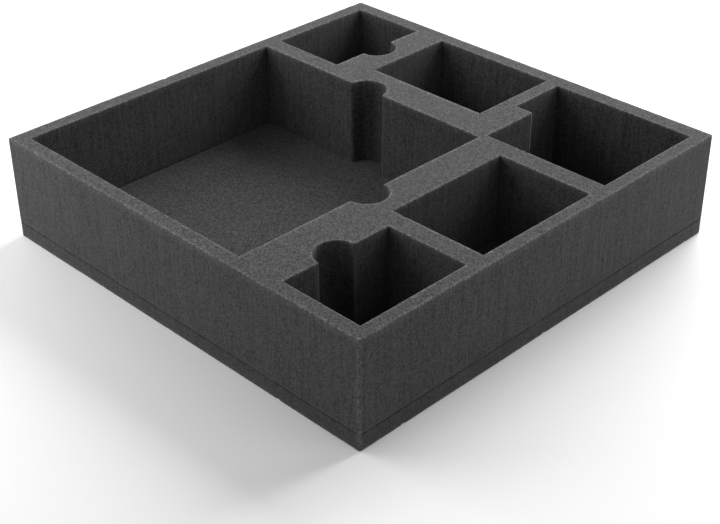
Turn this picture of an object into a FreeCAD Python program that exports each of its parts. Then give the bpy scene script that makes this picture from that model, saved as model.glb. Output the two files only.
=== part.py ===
import FreeCAD, Part
import os

# A drop-in foam insert that sorts the pieces of a square games box.
# Millimetres, +Z up. The origin is the centre of the insert's underside.
#
# Two foam pieces and the bond between them:
#   cut_foam_frame   one thick sheet with six wells cut right through it
#   adhesive_bond    a thin film of glue with the frame's own outline
#   foam_base_sheet  a thin whole sheet that closes the wells from below

# ---- driving dimensions ------------------------------------------------------
SIDE = 285.0              # the insert is square in plan
HEIGHT = 65.0             # whole thickness, rim to underside
BASE_THICKNESS = 10.0
BOND_THICKNESS = 0.2
GRIP_RADIUS = 12.2        # half-round finger notch, cut to the full depth of its well
GRIP_LIP_RADIUS = 2.0     # where a notch runs out into its well's wall

SAME_PLACE = 1e-3         # how near two points are to count as one

FRAME_BOTTOM = BASE_THICKNESS + BOND_THICKNESS
FRAME_HEIGHT = HEIGHT - FRAME_BOTTOM

# Wells in plan, measured from the insert's front left corner:
# left, front, right and rear walls.
WELLS = {
    "map_tiles": (9.5, 9.5, 191.0, 189.5),
    "small_cards": (9.5, 202.0, 62.0, 275.0),
    "tokens": (84.5, 213.0, 171.5, 275.0),
    "large_figure": (193.5, 194.5, 276.5, 274.0),
    "figures": (214.5, 95.5, 276.5, 181.0),
    "card_deck": (223.5, 9.5, 276.5, 82.5),
}
# The large figure's well widens to the left behind this line.
JOG_FRONT = 235.0
JOG_LEFT = 181.0

# Finger notches: the well they open into, the wall they are cut in, and the
# place of their middle along that wall.
GRIPS = {
    "map_tiles_rear": ("map_tiles", "rear", 101.0),
    "map_tiles_right": ("map_tiles", "right", 99.5),
    "small_cards_right": ("small_cards", "right", 238.0),
    "card_deck_left": ("card_deck", "left", 45.5),
}


def grip_centre(grip):
    """The middle of a notch's mouth, on the wall that it is cut in."""
    well, wall, along = GRIPS[grip]
    left, front, right, rear = WELLS[well]
    return {
        "rear": (along, rear),
        "right": (right, along),
        "left": (left, along),
    }[wall]


def upright_box(left, front, right, rear, bottom, height):
    """A block given by its walls in plan, measured from the front left corner."""
    corner = FreeCAD.Vector(left - SIDE / 2, front - SIDE / 2, bottom)
    return Part.makeBox(right - left, rear - front, height, corner)


def well_cutters(bottom, height):
    """Every well and notch as one solid, to be cut from a sheet."""
    pieces = [upright_box(*walls, bottom, height) for walls in WELLS.values()]
    _, _, jog_right, jog_rear = WELLS["large_figure"]
    pieces.append(upright_box(JOG_LEFT, JOG_FRONT, jog_right, jog_rear, bottom, height))
    for grip in GRIPS:
        x, y = grip_centre(grip)
        foot = FreeCAD.Vector(x - SIDE / 2, y - SIDE / 2, bottom)
        pieces.append(Part.makeCylinder(GRIP_RADIUS, height, foot))
    return pieces[0].fuse(pieces[1:]).removeSplitter()


def grip_lips(solid):
    """The upright edges where a notch meets its well's wall."""
    mouths = []
    for grip, (_, wall, _) in GRIPS.items():
        x, y = grip_centre(grip)
        along = (GRIP_RADIUS, 0.0) if wall == "rear" else (0.0, GRIP_RADIUS)
        for sign in (-1, 1):
            mouths.append((x + sign * along[0] - SIDE / 2, y + sign * along[1] - SIDE / 2))
    edges = []
    for edge in solid.Edges:
        box = edge.BoundBox
        upright = box.XLength < SAME_PLACE and box.YLength < SAME_PLACE
        near = [abs(box.Center.x - x) + abs(box.Center.y - y) < SAME_PLACE for x, y in mouths]
        if upright and any(near):
            edges.append(edge)
    return edges


def cut_sheet(bottom, height):
    """A square sheet with the wells cut right through it."""
    sheet = upright_box(0.0, 0.0, SIDE, SIDE, bottom, height)
    cut = sheet.cut(well_cutters(bottom, height)).removeSplitter()
    return cut.makeFillet(GRIP_LIP_RADIUS, grip_lips(cut))


def base_sheet():
    """The whole sheet that the frame is stuck to."""
    return upright_box(0.0, 0.0, SIDE, SIDE, 0.0, BASE_THICKNESS)


os.makedirs("parts", exist_ok=True)
pieces = {
    "cut_foam_frame": cut_sheet(FRAME_BOTTOM, FRAME_HEIGHT),
    "adhesive_bond": cut_sheet(BASE_THICKNESS, BOND_THICKNESS),
    "foam_base_sheet": base_sheet(),
}
for node, shape in pieces.items():
    shape.exportStep("parts/" + node + ".step")
    print(node, "valid" if shape.isValid() else "INVALID", len(shape.Solids), round(shape.Volume, 1))
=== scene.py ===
"""A foam box insert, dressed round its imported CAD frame.

The insert is a thick sheet of open-celled foam with six wells cut through it,
glued to a thin whole sheet of the same foam. Sizes are in millimetres until
they reach a mesh, which is in metres.
"""

import logging
import math
import random
from dataclasses import dataclass
from enum import Enum

import bmesh
import bpy
from mathutils import Euler, Matrix, Vector, noise


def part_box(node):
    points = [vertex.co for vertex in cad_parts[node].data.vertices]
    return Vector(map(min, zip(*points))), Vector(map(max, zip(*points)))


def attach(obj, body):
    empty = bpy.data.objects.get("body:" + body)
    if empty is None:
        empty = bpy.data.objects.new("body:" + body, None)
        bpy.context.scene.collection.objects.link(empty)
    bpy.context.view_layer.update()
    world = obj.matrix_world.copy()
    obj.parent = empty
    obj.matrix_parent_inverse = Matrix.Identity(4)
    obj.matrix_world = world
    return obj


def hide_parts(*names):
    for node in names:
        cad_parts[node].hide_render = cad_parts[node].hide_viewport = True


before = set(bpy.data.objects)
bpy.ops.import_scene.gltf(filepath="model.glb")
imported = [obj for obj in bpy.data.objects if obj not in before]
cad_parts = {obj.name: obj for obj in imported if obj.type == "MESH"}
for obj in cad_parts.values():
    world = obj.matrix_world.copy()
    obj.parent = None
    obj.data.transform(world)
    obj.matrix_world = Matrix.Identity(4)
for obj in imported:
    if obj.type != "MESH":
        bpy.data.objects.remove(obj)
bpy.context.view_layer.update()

logging.basicConfig(level=logging.INFO, format="%(message)s")
log = logging.getLogger("foam_insert")

MM = 0.001
BODY = "root"
ON_WALL = 0.1  # how near a wall's line a point counts as on it, in mm
UPRIGHT = "upright"  # point attribute: 0 on a level face, 1 on a wall
FRAY_AND_HIGHLIGHT = "frayed_highlit_edge"  # point attribute: 1 on a softened edge, where the foam frays and a painted highlight lightens it

SAME_PLACE = 0.01 * MM  # how near two places are to count as one
MERGE_WITHIN = 0.02 * MM  # how near two points are to be merged
SHARP_EDGE = math.radians(40)  # an edge this sharp is softened
CREASE = math.radians(50)  # an edge this sharp keeps its crease
SMOOTHING_PASSES = 4  # how often the grid is evened out round the notches
FRINGE_FRAY_AND_HIGHLIGHT = 0.4  # how much fray and painted highlight a point next to a softened edge gets, against the edge
WALL_FACING = 0.5  # how upright a point's normal is where it belongs to a wall

Colour = tuple[float, float, float, float]


def linear(code: str) -> Colour:
    """Turn an sRGB hex code into a linear colour.

    Args:
        code: A hash and six hex digits.

    Returns:
        Linear red, green and blue, and an alpha of one.
    """
    parts = [int(code[i : i + 2], 16) / 255 for i in (1, 3, 5)]
    red, green, blue = (p / 12.92 if p <= 0.04045 else ((p + 0.055) / 1.055) ** 2.4 for p in parts)
    return red, green, blue, 1.0


def add_node(
    tree: bpy.types.NodeTree,
    kind: str,
    links: dict[str | int, bpy.types.NodeSocket] | None = None,
    values: dict[str | int, object] | None = None,
    **settings: object,
) -> bpy.types.Node:
    """Add one shader node with its settings, its constant inputs and its links.

    Args:
        tree: The node tree that gets the node.
        kind: The node's type, without the leading ShaderNode.
        links: The sockets that feed its inputs, by input name or number.
        values: The constants of its inputs, by input name or number.
        **settings: Properties of the node itself.

    Returns:
        The new node.
    """
    node = tree.nodes.new("ShaderNode" + kind)
    for name, value in settings.items():
        setattr(node, name, value)
    for name, value in (values or {}).items():
        node.inputs[name].default_value = value
    for name, socket in (links or {}).items():
        tree.links.new(socket, node.inputs[name])
    return node


def new_material(name: str) -> tuple[bpy.types.Material, bpy.types.NodeTree]:
    """Make a material with an empty node tree.

    Args:
        name: The material's name.

    Returns:
        The material and its node tree.
    """
    material = bpy.data.materials.new(name)
    material.use_nodes = True
    material.node_tree.nodes.clear()
    return material, material.node_tree


# ---- the plan of the cuts ------------------------------------------------------


@dataclass(frozen=True)
class Well:
    """A straight-walled well in plan, from the insert's front left corner, in mm."""

    left: float
    front: float
    right: float
    rear: float

    def covers(self, x: float, y: float) -> bool:
        """Whether the well is open at a point in plan."""
        return self.left < x < self.right and self.front < y < self.rear


@dataclass(frozen=True)
class Grip:
    """A half-round finger notch in a well's wall, in mm.

    Attributes:
        x: The middle of the notch's mouth.
        y: The middle of the notch's mouth.
        into: The way from the mouth into the wall, in plan.
        radius: The radius of the notch.
        lip: The radius that rounds its mouth off into the wall.
    """

    x: float
    y: float
    into: tuple[float, float]
    radius: float = 12.2
    lip: float = 2.0

    def covers(self, x: float, y: float) -> bool:
        """Whether the notch is open at a point in plan."""
        return math.hypot(x - self.x, y - self.y) < self.radius

    def outline(self, x: float, y: float, reach: float) -> tuple[float, float]:
        """Draw a point near the notch's edge onto that edge.

        Args:
            x: The point's place in plan.
            y: The point's place in plan.
            reach: How far from the edge a point is still drawn in.

        Returns:
            The nearest place on the notch's arc or on a lip, or the point itself
            where neither is near.
        """
        middle = Vector((self.x, self.y))
        inwards = Vector(self.into)
        along = Vector((inwards.y, inwards.x))
        offset = Vector((x, y)) - middle
        side = math.copysign(1.0, offset.dot(along))
        spread = math.sqrt((self.radius + self.lip) ** 2 - self.lip**2)
        heart = middle + along * side * spread + inwards * self.lip
        lip_start = self.radius / (self.radius + self.lip) * spread
        depth = offset.dot(inwards)
        on_lip = lip_start < abs(offset.dot(along)) < spread
        if on_lip and -ON_WALL < depth < self.lip:
            out = (Vector((x, y)) - heart).normalized() * self.lip
            return tuple(heart + out)
        if abs(offset.length - self.radius) < reach and depth > ON_WALL:
            return tuple(middle + offset.normalized() * self.radius)
        return x, y


MAP_TILES = Well(9.5, 9.5, 191.0, 189.5)
SMALL_CARDS = Well(9.5, 202.0, 62.0, 275.0)
TOKENS = Well(84.5, 213.0, 171.5, 275.0)
LARGE_FIGURE = Well(193.5, 194.5, 276.5, 274.0)
SIDE_POCKET = Well(181.0, 235.0, 193.5, 274.0)
FIGURES = Well(214.5, 95.5, 276.5, 181.0)
CARD_DECK = Well(223.5, 9.5, 276.5, 82.5)


@dataclass(frozen=True)
class Plan:
    """Everything that is cut right through a sheet."""

    wells: tuple[Well, ...] = (
        MAP_TILES,
        SMALL_CARDS,
        TOKENS,
        LARGE_FIGURE,
        SIDE_POCKET,
        FIGURES,
        CARD_DECK,
    )
    grips: tuple[Grip, ...] = (
        Grip(101.0, MAP_TILES.rear, into=(0.0, 1.0)),
        Grip(MAP_TILES.right, 99.5, into=(1.0, 0.0)),
        Grip(SMALL_CARDS.right, 238.0, into=(1.0, 0.0)),
        Grip(CARD_DECK.left, 45.5, into=(-1.0, 0.0)),
    )

    def is_open(self, x: float, y: float) -> bool:
        """Whether anything is cut away at a point in plan."""
        return any(cut.covers(x, y) for cut in (*self.wells, *self.grips))

    def wall_lines(self, axis: int) -> set[float]:
        """Where walls cross an axis.

        Args:
            axis: 0 for X, 1 for Y.

        Returns:
            The walls' places along that axis, in mm.
        """
        if axis == 0:
            return {line for well in self.wells for line in (well.left, well.right)}
        return {line for well in self.wells for line in (well.front, well.rear)}


# ---- finishes --------------------------------------------------------------------


@dataclass(frozen=True)
class FoamFinish:
    """Charcoal polyurethane foam, sliced level and cut upright with a running blade.

    Open cells give a fine salt-and-pepper grain and a dry, dull face that lightens
    a little where it is seen aslant. The blade leaves thin upright streaks on the
    walls. Real cells are about half a millimetre across, and are drawn a little
    coarser so that they show.
    """

    name: str
    pore: str = "#151516"
    strut: str = "#474748"
    # the top of the ramp: frayed fibres, and the painted highlight on the softened edges
    frayed_and_highlit: str = "#636365"
    cell_mm: float = 0.75
    mottle_mm: float = 2.8
    patch_mm: float = 45.0
    streak_mm: float = 1.1
    streak_length_mm: float = 11.0
    stroke_mm: float = 1.5
    stroke_length_mm: float = 70.0
    blowhole_spacing_mm: float = 7.0
    blowhole_mm: float = 0.55
    cell_depth_mm: float = 0.4
    streak_depth_mm: float = 0.25
    resting_tone: float = 0.33  # where clean foam lies between pore and the frayed, highlit top of the ramp
    speckle_tone: float = 0.9
    speckle_on_walls: float = 0.6
    mottle_tone: float = 0.22
    patch_tone: float = 0.12
    streak_tone: float = 0.55
    stroke_tone: float = 0.45
    # painted edge highlight, partly real fray: how much lighter the softened edges are drawn
    fray_and_highlight_tone: float = 0.45
    hole_tone: float = -0.3
    strut_stop: float = 0.75
    cell_bump: float = 0.22
    streak_bump: float = 0.18
    hole_depth: float = 1.5  # in cells

    def build(self) -> bpy.types.Material:
        """Make the material.

        Returns:
            The material.
        """
        material, tree = new_material(self.name)
        place = add_node(tree, "TexCoord").outputs["Object"]
        cells = add_node(
            tree, "TexVoronoi", {"Vector": place}, {"Scale": 1 / (self.cell_mm * MM)}
        )
        upright = add_node(tree, "Attribute", attribute_name=UPRIGHT).outputs["Fac"]
        fray_highlight = add_node(tree, "Attribute", attribute_name=FRAY_AND_HIGHLIGHT).outputs["Fac"]
        speckle = add_node(tree, "SeparateColor", {"Color": cells.outputs["Color"]})
        speckle = self._faded(tree, self._centred(tree, speckle.outputs["Red"]), upright)
        streak = self._streaks(tree, place, self.streak_mm, self.streak_length_mm, upright)
        stroke = self._streaks(tree, place, self.stroke_mm, self.stroke_length_mm, upright)
        holes = self._blowholes(tree, place)
        tone = self._sum(
            tree,
            self.resting_tone,
            [
                (speckle, self.speckle_tone),
                (self._centred(tree, self._noise(tree, place, self.mottle_mm)), self.mottle_tone),
                (self._centred(tree, self._noise(tree, place, self.patch_mm)), self.patch_tone),
                (streak, self.streak_tone),
                (stroke, self.stroke_tone),
                # painted highlight on the softened edges, partly their real fray
                (fray_highlight, self.fray_and_highlight_tone),
                (holes, self.hole_tone),
            ],
        )
        colour = add_node(tree, "ValToRGB", {"Fac": tone})
        stops = colour.color_ramp.elements
        stops[0].color = linear(self.pore)
        stops[1].color = linear(self.frayed_and_highlit)
        stops.new(self.strut_stop).color = linear(self.strut)
        relief = self._sum(tree, 0.0, [(cells.outputs["Distance"], 1.0), (holes, -self.hole_depth)])
        pitted = add_node(
            tree,
            "Bump",
            {"Height": relief},
            {"Strength": self.cell_bump, "Distance": self.cell_depth_mm * MM},
        )
        streaked = add_node(
            tree,
            "Bump",
            {"Height": streak, "Normal": pitted.outputs["Normal"]},
            {"Strength": self.streak_bump, "Distance": self.streak_depth_mm * MM},
        )
        shader = add_node(
            tree,
            "BsdfPrincipled",
            {"Base Color": colour.outputs["Color"], "Normal": streaked.outputs["Normal"]},
            {
                "Roughness": 0.95,
                "Specular IOR Level": 0.2,
                "Sheen Weight": 0.15,
                "Sheen Roughness": 0.55,
            },
        )
        add_node(tree, "OutputMaterial", {"Surface": shader.outputs["BSDF"]})
        return material

    def _noise(
        self, tree: bpy.types.NodeTree, place: bpy.types.NodeSocket, size_mm: float
    ) -> bpy.types.NodeSocket:
        """Soft noise from 0 to 1 with patches of a given size in mm."""
        node = add_node(
            tree,
            "TexNoise",
            {"Vector": place},
            {"Scale": 1 / (size_mm * MM), "Detail": 2.0, "Roughness": 0.6},
        )
        return node.outputs["Fac"]

    def _centred(
        self, tree: bpy.types.NodeTree, value: bpy.types.NodeSocket
    ) -> bpy.types.NodeSocket:
        """A value from 0 to 1, moved to lie about 0."""
        return add_node(tree, "Math", {0: value}, {1: 0.5}, operation="SUBTRACT").outputs[0]

    def _faded(
        self, tree: bpy.types.NodeTree, value: bpy.types.NodeSocket, upright: bpy.types.NodeSocket
    ) -> bpy.types.NodeSocket:
        """A value that is weaker on the walls, where the blade has closed the cells a little."""
        keep = add_node(
            tree, "MapRange", {"Value": upright}, {"To Min": 1.0, "To Max": self.speckle_on_walls}
        )
        return add_node(
            tree, "Math", {0: value, 1: keep.outputs["Result"]}, operation="MULTIPLY"
        ).outputs[0]

    def _streaks(
        self,
        tree: bpy.types.NodeTree,
        place: bpy.types.NodeSocket,
        width_mm: float,
        length_mm: float,
        upright: bpy.types.NodeSocket,
    ) -> bpy.types.NodeSocket:
        """Draw upright blade streaks on the walls.

        Args:
            tree: The node tree.
            place: Where the pattern is read.
            width_mm: How wide a streak is.
            length_mm: How long a streak is.
            upright: 1 on the walls, 0 on level faces.

        Returns:
            A value about 0, and 0 on level faces.
        """
        drawn_out = add_node(
            tree, "Mapping", {"Vector": place}, {"Scale": (1.0, 1.0, width_mm / length_mm)}
        )
        grain = self._noise(tree, drawn_out.outputs["Vector"], width_mm)
        centred = self._centred(tree, grain)
        return add_node(tree, "Math", {0: centred, 1: upright}, operation="MULTIPLY").outputs[0]

    def _blowholes(
        self, tree: bpy.types.NodeTree, place: bpy.types.NodeSocket
    ) -> bpy.types.NodeSocket:
        """Sparse larger bubbles that the blade has opened: 1 in a hole, else 0."""
        spots = add_node(
            tree, "TexVoronoi", {"Vector": place}, {"Scale": 1 / (self.blowhole_spacing_mm * MM)}
        )
        edge = self.blowhole_mm / self.blowhole_spacing_mm
        hole = add_node(
            tree,
            "MapRange",
            {"Value": spots.outputs["Distance"]},
            {"From Min": 0.6 * edge, "From Max": 1.3 * edge, "To Min": 1.0, "To Max": 0.0},
        )
        return hole.outputs["Result"]

    def _sum(
        self,
        tree: bpy.types.NodeTree,
        start: float,
        terms: list[tuple[bpy.types.NodeSocket, float]],
    ) -> bpy.types.NodeSocket:
        """Add up values.

        Args:
            tree: The node tree.
            start: What the sum starts from.
            terms: Each value and its weight.

        Returns:
            The weighted sum.
        """
        (first, weight), *rest = terms
        total = add_node(
            tree, "Math", {0: first}, {1: weight, 2: start}, operation="MULTIPLY_ADD"
        ).outputs[0]
        for value, weight in rest:
            total = add_node(
                tree, "Math", {0: value, 2: total}, {1: weight}, operation="MULTIPLY_ADD"
            ).outputs[0]
        return total


@dataclass(frozen=True)
class GlueFinish:
    """Dried contact adhesive: a thin smoky film with a dull shine where it squeezed out."""

    name: str = "dried_contact_adhesive"
    thin: str = "#3a3733"
    thick: str = "#1f1d1b"
    blob_mm: float = 4.0

    def build(self) -> bpy.types.Material:
        """Make the material.

        Returns:
            The material.
        """
        material, tree = new_material(self.name)
        place = add_node(tree, "TexCoord").outputs["Object"]
        blobs = add_node(
            tree, "TexNoise", {"Vector": place}, {"Scale": 1 / (self.blob_mm * MM), "Detail": 3.0}
        ).outputs["Fac"]
        colour = add_node(tree, "ValToRGB", {"Fac": blobs})
        colour.color_ramp.elements[0].color = linear(self.thick)
        colour.color_ramp.elements[1].color = linear(self.thin)
        shine = add_node(tree, "MapRange", {"Value": blobs}, {"To Min": 0.3, "To Max": 0.6})
        bump = add_node(tree, "Bump", {"Height": blobs}, {"Strength": 0.4, "Distance": 0.1 * MM})
        shader = add_node(
            tree,
            "BsdfPrincipled",
            {
                "Base Color": colour.outputs["Color"],
                "Roughness": shine.outputs["Result"],
                "Normal": bump.outputs["Normal"],
            },
        )
        add_node(tree, "OutputMaterial", {"Surface": shader.outputs["BSDF"]})
        return material


@dataclass(frozen=True)
class PaperFinish:
    """The white seamless paper of a studio table, dull and even."""

    name: str = "seamless_paper"
    tint: str = "#f3f3f3"

    def build(self) -> bpy.types.Material:
        """Make the material.

        Returns:
            The material.
        """
        material, tree = new_material(self.name)
        shader = add_node(
            tree, "BsdfPrincipled", {}, {"Base Color": linear(self.tint), "Roughness": 0.9}
        )
        add_node(tree, "OutputMaterial", {"Surface": shader.outputs["BSDF"]})
        return material


# ---- meshes ------------------------------------------------------------------------


def object_from(bm: bmesh.types.BMesh, name: str, material: bpy.types.Material) -> bpy.types.Object:
    """Turn a bmesh into an object at the origin.

    Args:
        bm: The shape, in metres in the row frame. It is freed.
        name: The object's name.
        material: Its one material.

    Returns:
        The new object.
    """
    mesh = bpy.data.meshes.new(name)
    bm.to_mesh(mesh)
    bm.free()
    mesh.materials.append(material)
    piece = bpy.data.objects.new(name, mesh)
    bpy.context.scene.collection.objects.link(piece)
    return piece


@dataclass(frozen=True)
class Relief:
    """How far a cut face strays from flat, in mm."""

    wander: float = 0.16  # the blade's own slow drift
    wander_length: float = 55.0
    ripple: float = 0.08  # upright ridges between strokes
    ripple_width: float = 3.4
    ripple_length: float = 60.0
    grain: float = 0.06  # tufts of torn cells
    grain_width: float = 2.2
    nick: float = 0.4  # crumbs missing from an edge
    nick_width: float = 2.2
    nicks: int = 16

    def at(self, point: Vector, upright: float) -> float:
        """The stray at a point, in mm.

        Args:
            point: The place, in mm.
            upright: 0 on a level face, 1 on a wall.

        Returns:
            The distance along the face's normal, positive outwards.
        """
        drift = noise.noise(point / self.wander_length)
        tuft = noise.noise(point / self.grain_width)
        stretched = Vector((point.x, point.y, point.z * self.ripple_width / self.ripple_length))
        ridge = noise.noise(stretched / self.ripple_width)
        wall = self.wander * drift + self.grain * tuft + self.ripple * ridge
        level = 0.5 * (self.wander * (drift - 1) + self.grain * (tuft - 1))
        return level + (wall - level) * upright


class Run(Enum):
    """Where an outward edge of a sheet runs."""

    CORNER = "corner"
    IN_WELLS = "in_wells"
    TOP = "top"
    BOTTOM = "bottom"


@dataclass(frozen=True)
class Softening:
    """How far one run of edges is rounded, in mm, and how much fray and painted highlight it gets,
    from 0 to 1.
    """

    run: Run
    radius: float
    fray_and_highlight: float

    def takes(self, edge: bmesh.types.BMEdge, low: Vector, high: Vector) -> bool:
        """Whether an outward edge belongs to this run.

        Args:
            edge: The edge.
            low: The sheet's lowest corner, in metres.
            high: Its highest corner.

        Returns:
            Whether it belongs.
        """
        start, end = (vert.co for vert in edge.verts)
        if abs(start.z - end.z) > ON_WALL * MM:
            gaps = [min(abs(start[i] - low[i]), abs(start[i] - high[i])) for i in (0, 1)]
            return self.run is (Run.CORNER if max(gaps) < SAME_PLACE else Run.IN_WELLS)
        level = {Run.TOP: high.z, Run.BOTTOM: low.z}.get(self.run)
        return level is not None and max(abs(start.z - level), abs(end.z - level)) < SAME_PLACE


@dataclass
class CutSheet:
    """A level sheet of foam, with or without wells, meshed finely enough to be roughened.

    Attributes:
        name: The piece's name.
        node: The CAD node that it stands for.
        plan: What is cut through it, or None for a whole sheet.
        pitch: The spacing of the grid that its level faces are made of, in mm.
        rows: How many rows of faces its walls have between their two edge rows.
        edges: How its outward edges are softened.
        inset: How far its walls stand back from the CAD's, in mm.
        edge_row: The height of the walls' first and last rows, in mm.
        relief: How its faces stray from flat.
        seed: What its nicks are drawn from.
    """

    name: str
    node: str
    plan: Plan | None
    pitch: float
    rows: int
    edges: tuple[Softening, ...]
    relief: Relief
    inset: float = 0.0
    edge_row: float = 1.7
    seed: int = 3

    def __post_init__(self) -> None:
        """Read the sheet's place from the frame."""
        self.low, self.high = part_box(self.node)

    def build(self, material: bpy.types.Material) -> bpy.types.Object:
        """Make the sheet.

        Args:
            material: Its finish.

        Returns:
            The sheet's object.
        """
        bm = bmesh.new()
        self._lay_grid(bm)
        if self.plan:
            self._cut_wells(bm)
        self._raise_walls(bm)
        self._soften_edges(bm)
        self._roughen(bm)
        self._mark_creases(bm)
        log.info("%s: %d faces", self.name, len(bm.faces))
        return object_from(bm, self.name, material)

    def _lay_grid(self, bm: bmesh.types.BMesh) -> None:
        """Lay an even grid at the sheet's top, with its lines drawn onto the walls."""
        side = self.high.x - self.low.x
        count = round(side / (self.pitch * MM))
        bmesh.ops.create_grid(bm, x_segments=count, y_segments=count, size=side / 2)
        bmesh.ops.translate(bm, vec=(0.0, 0.0, self.high.z), verts=bm.verts)
        step = side / count
        for axis in (0, 1):
            lines = self.plan.wall_lines(axis) if self.plan else set()
            moves = {round(line * MM / step): self.low[axis] + line * MM for line in lines}
            for vert in bm.verts:
                column = round((vert.co[axis] - self.low[axis]) / step)
                if column in moves:
                    vert.co[axis] = moves[column]

    def _in_plan(self, point: Vector) -> tuple[float, float]:
        """A point's place in plan from the sheet's front left corner, in mm."""
        return (point.x - self.low.x) / MM, (point.y - self.low.y) / MM

    def _cut_wells(self, bm: bmesh.types.BMesh) -> None:
        """Take out what the plan cuts away, and draw the notches' edges onto their arcs."""
        away = [f for f in bm.faces if self.plan.is_open(*self._in_plan(f.calc_center_median()))]
        bmesh.ops.delete(bm, geom=away, context="FACES")
        for vert in bm.verts:
            if not vert.is_boundary:
                continue
            for grip in self.plan.grips:
                x, y = grip.outline(*self._in_plan(vert.co), reach=1.1 * self.pitch)
                vert.co.x = self.low.x + x * MM
                vert.co.y = self.low.y + y * MM
        around = [vert for vert in bm.verts if not vert.is_boundary and self._by_grip(vert.co)]
        for _ in range(SMOOTHING_PASSES):
            bmesh.ops.smooth_vert(
                bm, verts=around, factor=0.5, use_axis_x=True, use_axis_y=True, use_axis_z=False
            )

    def _by_grip(self, point: Vector) -> bool:
        """Whether a point is within a few faces of a notch's edge."""
        x, y = self._in_plan(point)
        room = 4 * self.pitch
        return any(
            math.hypot(x - grip.x, y - grip.y) < grip.radius + grip.lip + room
            for grip in self.plan.grips
        )

    def _raise_walls(self, bm: bmesh.types.BMesh) -> None:
        """Close the sheet: a copy of its top for its underside, and rows of wall between."""
        height = self.high.z - self.low.z
        edge_row = min(self.edge_row * MM, height / (self.rows + 2))
        middle_row = (height - 2 * edge_row) / self.rows
        drops = [edge_row, *[middle_row] * self.rows, edge_row]
        rim = [edge for edge in bm.edges if edge.is_boundary]
        copy = bmesh.ops.duplicate(bm, geom=bm.faces[:])["geom"]
        under = [part for part in copy if isinstance(part, bmesh.types.BMVert)]
        bmesh.ops.translate(bm, vec=(0.0, 0.0, -height), verts=under)
        for drop in drops:
            row = bmesh.ops.extrude_edge_only(bm, edges=rim)["geom"]
            verts = [part for part in row if isinstance(part, bmesh.types.BMVert)]
            rim = [e for e in row if isinstance(e, bmesh.types.BMEdge) and e.is_boundary]
            bmesh.ops.translate(bm, vec=(0.0, 0.0, -drop), verts=verts)
        bmesh.ops.remove_doubles(bm, verts=bm.verts, dist=MERGE_WITHIN)
        bmesh.ops.recalc_face_normals(bm, faces=bm.faces)

    def _soften_edges(self, bm: bmesh.types.BMesh) -> None:
        """Round the outward edges a little, and mark how much fray and painted highlight they get.
        """
        fray_highlight = bm.verts.layers.float.new(FRAY_AND_HIGHLIGHT)
        for softening in self.edges:
            edges = [
                edge
                for edge in bm.edges
                if edge.calc_face_angle_signed(0.0) > SHARP_EDGE
                and softening.takes(edge, self.low, self.high)
            ]
            rounded = bmesh.ops.bevel(
                bm,
                geom=edges,
                offset=softening.radius * MM,
                offset_type="OFFSET",
                segments=2,
                profile=0.5,
                affect="EDGES",
                clamp_overlap=False,
                material=-1,
            )
            for vert in rounded["verts"]:
                # the softened edges are marked for their fray and a painted highlight
                vert[fray_highlight] = max(vert[fray_highlight], softening.fray_and_highlight)
        self._spread_fray_and_highlight(bm, fray_highlight)

    def _spread_fray_and_highlight(self, bm: bmesh.types.BMesh, layer: bmesh.types.BMLayerItem) -> None:
        """Let the fray and painted highlight fade out over the points next to a softened edge."""
        fringe = {
            vert: FRINGE_FRAY_AND_HIGHLIGHT * max(edge.other_vert(vert)[layer] for edge in vert.link_edges)
            for vert in bm.verts
            if vert[layer] == 0
        }
        for vert, edge_fray_and_highlight in fringe.items():
            vert[layer] = edge_fray_and_highlight

    def _roughen(self, bm: bmesh.types.BMesh) -> None:
        """Move every point off the flat as the cut left it, and note which way it faces."""
        upright_layer = bm.verts.layers.float.new(UPRIGHT)
        fray_highlight_layer = bm.verts.layers.float[FRAY_AND_HIGHLIGHT]
        bm.normal_update()
        nicks = self._nicks(bm)
        for vert in bm.verts:
            normal = vert.normal
            upright = math.hypot(normal.x, normal.y)
            vert[upright_layer] = upright
            point = vert.co / MM
            stray = self.relief.at(point, upright)
            if nicks and vert[fray_highlight_layer] > 0:
                near = min((point - nick).length for nick in nicks)
                dent = max(0.0, 1 - (near / self.relief.nick_width) ** 2)
                stray -= self.relief.nick * dent**2
            vert.co += normal * stray * MM
            if upright > WALL_FACING:
                vert.co -= Vector((normal.x, normal.y, 0.0)).normalized() * self.inset * MM

    def _nicks(self, bm: bmesh.types.BMesh) -> list[Vector]:
        """Places on the softened edges where a crumb is missing, in mm."""
        layer = bm.verts.layers.float[FRAY_AND_HIGHLIGHT]
        edge = [vert.co / MM for vert in bm.verts if vert[layer] > 0]
        edge.sort(key=lambda place: tuple(round(part, 2) for part in place))
        return random.Random(self.seed).sample(edge, min(self.relief.nicks, len(edge)))

    def _mark_creases(self, bm: bmesh.types.BMesh) -> None:
        """Shade smooth, apart from the wells' inner corners."""
        for face in bm.faces:
            face.smooth = True
        for edge in bm.edges:
            edge.smooth = abs(edge.calc_face_angle_signed(0.0)) < CREASE


# ---- the insert ----------------------------------------------------------------------


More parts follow.
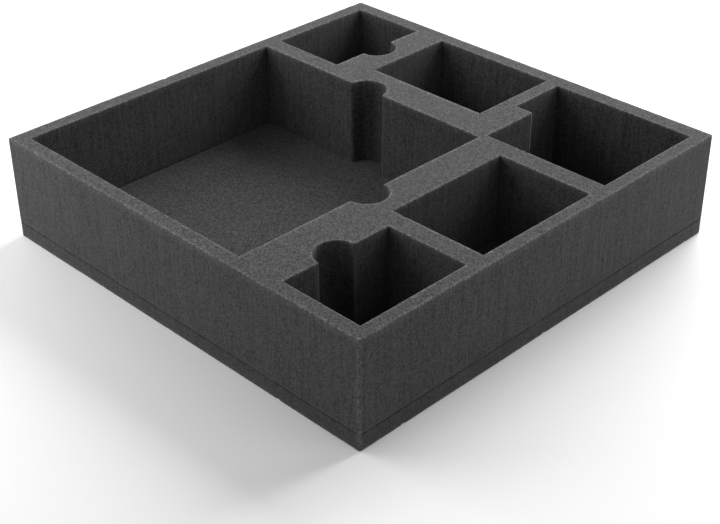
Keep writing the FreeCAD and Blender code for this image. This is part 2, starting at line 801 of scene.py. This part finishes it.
@dataclass
class Insert:
    """The whole insert: frame, bond and base sheet."""

    foam: FoamFinish = FoamFinish("cut_polyurethane_foam")
    sheet_foam: FoamFinish = FoamFinish("sliced_polyurethane_foam", pore="#141415", strut="#444445")
    glue: GlueFinish = GlueFinish()

    def build(self) -> None:
        """Make the three pieces and put each in its CAD node's place."""
        coarse = 1.0
        cut_frame = CutSheet(
            name="cut_foam_frame_body",
            node="cut_foam_frame",
            plan=Plan(),
            pitch=1.25 * coarse,
            rows=15,
            edges=(
                Softening(Run.IN_WELLS, 1.0, 0.55),
                Softening(Run.CORNER, 1.1, 0.9),
                Softening(Run.TOP, 0.55, 0.85),
                Softening(Run.BOTTOM, 0.3, 0.0),
            ),
            relief=Relief(),
        )
        base = CutSheet(
            name="foam_base_sheet_body",
            node="foam_base_sheet",
            plan=None,
            pitch=2.0 * coarse,
            rows=3,
            edges=(
                Softening(Run.CORNER, 1.1, 0.9),
                Softening(Run.TOP, 0.3, 0.0),
                Softening(Run.BOTTOM, 0.55, 0.85),
            ),
            relief=Relief(nicks=8),
            seed=5,
        )
        bond = CutSheet(
            name="adhesive_bond_film",
            node="adhesive_bond",
            plan=Plan(),
            pitch=2.5 * coarse,
            rows=1,
            edges=(),
            relief=Relief(wander=0.0, ripple=0.25, grain=0.0, nicks=0),
            inset=0.5,
        )
        self._place(cut_frame, self.foam.build())
        self._place(base, self.sheet_foam.build())
        self._place(bond, self.glue.build())

    def _place(
        self,
        sheet: CutSheet,
        material: bpy.types.Material,
    ) -> None:
        """Build one sheet and tie it to the frame.

        Args:
            sheet: What to build.
            material: Its finish.
        """
        piece = sheet.build(material)
        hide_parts(sheet.node)
        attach(piece, BODY)


# ---- the studio ------------------------------------------------------------------------

AIM_HEIGHT = 0.04  # where the lamps point, in metres above the table


class Side(Enum):
    """Where a lamp stands round the insert, as a direction in plan."""

    LEFT_CORNER = (-1.0, -1.0)
    FRONT = (0.0, -1.0)
    RIGHT = (1.0, 0.1)
    LEFT = (-1.0, 0.0)
    REAR = (0.0, 1.0)


@dataclass(frozen=True)
class Softbox:
    """A square soft light that faces the insert, in metres and watts."""

    side: Side
    reach: float
    height: float
    size: float
    power: float

    def build(self) -> None:
        """Stand the softbox in the scene."""
        name = "softbox_" + self.side.name.lower()
        data = bpy.data.lights.new(name, "AREA")
        data.shape = "SQUARE"
        data.size = self.size
        data.energy = self.power
        lamp = bpy.data.objects.new(name, data)
        bpy.context.scene.collection.objects.link(lamp)
        flat = Vector(self.side.value).normalized() * self.reach
        lamp.location = (flat.x, flat.y, self.height)
        aim = Vector((0.0, 0.0, AIM_HEIGHT)) - lamp.location
        lamp.rotation_euler = aim.to_track_quat("-Z", "Y").to_euler()


@dataclass(frozen=True)
class Studio:
    """A white table in soft light, and the camera over the near corner."""

    azimuth: float = 45.392
    elevation: float = 32.271
    roll: float = -0.461
    distance: float = 0.70752
    aim: tuple[float, float, float] = (0.09521, -0.09471, 0.065)
    lens: float = 71.887
    table_size: float = 12.0
    softboxes: tuple[Softbox, ...] = (
        Softbox(Side.LEFT_CORNER, reach=0.5, height=0.3, size=0.4, power=1.7),
        Softbox(Side.FRONT, reach=0.8, height=0.6, size=0.7, power=1.75),
        Softbox(Side.RIGHT, reach=0.8, height=0.5, size=0.7, power=2.1),
        Softbox(Side.LEFT, reach=0.8, height=0.6, size=0.8, power=3.9),
        Softbox(Side.REAR, reach=0.8, height=0.6, size=0.8, power=16.4),
    )

    def build(self) -> None:
        """Set up the table, the lights and the camera."""
        scene = bpy.context.scene
        scene.view_settings.view_transform = "Standard"
        scene.world = bpy.data.worlds.new("dark_studio")
        scene.world.use_nodes = True
        scene.world.node_tree.nodes["Background"].inputs["Strength"].default_value = 0.0
        self._lay_table()
        for softbox in self.softboxes:
            softbox.build()
        self._stand_camera()

    def _lay_table(self) -> None:
        """Lay the pale table that the insert stands on."""
        bm = bmesh.new()
        bmesh.ops.create_grid(bm, x_segments=1, y_segments=1, size=self.table_size / 2)
        object_from(bm, "studio_table", PaperFinish().build())

    def _stand_camera(self) -> None:
        """Stand the camera so that it looks down over the near corner."""
        data = bpy.data.cameras.new("camera")
        data.lens = self.lens
        camera = bpy.data.objects.new("camera", data)
        bpy.context.scene.collection.objects.link(camera)
        tilt = Euler((math.radians(90 - self.elevation), 0.0, math.radians(self.azimuth)))
        turn = tilt.to_matrix() @ Matrix.Rotation(math.radians(self.roll), 3, "Z")
        eye = Vector(self.aim) + turn @ Vector((0.0, 0.0, self.distance))
        camera.matrix_world = Matrix.Translation(eye) @ turn.to_4x4()
        bpy.context.scene.camera = camera


def main() -> None:
    """Build the studio and the insert."""
    Studio().build()
    Insert().build()


if __name__ == "__main__":
    main()
